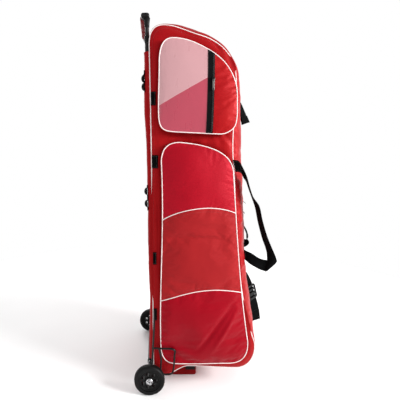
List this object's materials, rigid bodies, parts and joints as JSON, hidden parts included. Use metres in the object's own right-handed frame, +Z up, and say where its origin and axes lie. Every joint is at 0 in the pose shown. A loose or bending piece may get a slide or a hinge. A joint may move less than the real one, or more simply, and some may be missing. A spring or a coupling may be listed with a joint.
{
  "type": "wheeled sports bag",
  "caption": "Tall soft wheeled bag that stands upright, with a telescopic handle, side pockets with piping, loose webbing straps and trolley wheels.",
  "frame": {"origin": "middle of the flat underside of the foot, on the floor", "axes": "+Z up; +X towards the front of the bag, away from the handle; -Y towards the side with the pockets"},
  "size_m": [0.4811, 0.4412, 1.2787],
  "materials": {
    "red_cloth": "matte woven polyester",
    "crimson_satin": "satin woven polyester",
    "white_piping": "matte",
    "hazy_vinyl": "hazy gloss",
    "black_webbing": "woven webbing",
    "black_zip": "zip tape",
    "black_plastic": "satin moulded",
    "black_metal": "black coated",
    "black_rubber": "matte",
    "silver_metal": "polished",
    "red_grip": "satin"
  },
  "bodies": {
    "bag": {"axle": "black_metal", "back_panel": "red_cloth", "base_foot": "red_cloth", "bottom_panel": "red_cloth", "carry_strap_far": "black_webbing", "carry_strap_near": "black_webbing", "front_lower_far": "red_cloth", "front_lower_near": "red_cloth", "front_upper_far": "red_cloth", "front_upper_near": "red_cloth", "front_zip": "black_zip", "front_zip_pull_lower": "silver_metal", "front_zip_pull_upper": "silver_metal", "lash_loop_lower": "black_webbing", "lash_loop_upper": "black_webbing", "lower_buckle": "black_plastic", "lower_pocket_arc_lower": "white_piping", "lower_pocket_arc_upper": "white_piping", "lower_pocket_bottom": "crimson_satin", "lower_pocket_gusset": "red_cloth", "lower_pocket_middle": "red_cloth", "lower_pocket_piping": "white_piping", "lower_pocket_top": "crimson_satin", "lower_strap": "black_webbing", "outer_tube_far": "black_metal", "outer_tube_near": "black_metal", "side_panel_far": "red_cloth", "side_panel_near": "red_cloth", "side_piping_far": "white_piping", "side_piping_near": "white_piping", "side_rack_far": "black_metal", "side_rack_near": "black_metal", "side_tab_far_1": "black_webbing", "side_tab_far_2": "black_webbing", "side_tab_far_3": "black_webbing", "side_tab_far_4": "black_webbing", "side_tab_near_1": "black_webbing", "side_tab_near_2": "black_webbing", "side_tab_near_3": "black_webbing", "side_tab_near_4": "black_webbing", "tube_sleeve_far": "red_cloth", "tube_sleeve_near": "red_cloth", "upper_pocket_gusset": "red_cloth", "upper_pocket_piping": "white_piping", "upper_pocket_pull": "silver_metal", "upper_pocket_strip": "red_cloth", "upper_pocket_window": "hazy_vinyl", "upper_pocket_zip": "black_zip", "upper_strap": "black_webbing"},
    "wheel_near": {"tyre_near": "black_rubber", "wheel_hub_near": "black_plastic", "hub_cap_near": "silver_metal"},
    "wheel_far": {"tyre_far": "black_rubber", "wheel_hub_far": "black_plastic", "hub_cap_far": "silver_metal"},
    "handle": {"inner_tube_near": "black_metal", "inner_tube_far": "black_metal", "handle_end_near": "black_plastic", "handle_end_far": "black_plastic", "handle_grip": "red_grip"}
  },
  "joints": [
    {"name": "wheel_near_spin", "type": "hinge", "parent": "bag", "child": "wheel_near", "pos_m": [-0.096, -0.2036, 0.0525], "axis": [0, 1, 0], "continuous": true},
    {"name": "wheel_far_spin", "type": "hinge", "parent": "bag", "child": "wheel_far", "pos_m": [-0.096, 0.2036, 0.0525], "axis": [0, 1, 0], "continuous": true},
    {"name": "handle_slide", "type": "slide", "parent": "bag", "child": "handle", "axis": [-0.0223, 0, 0.9998], "range_m": [0, 0.3]}
  ]
}
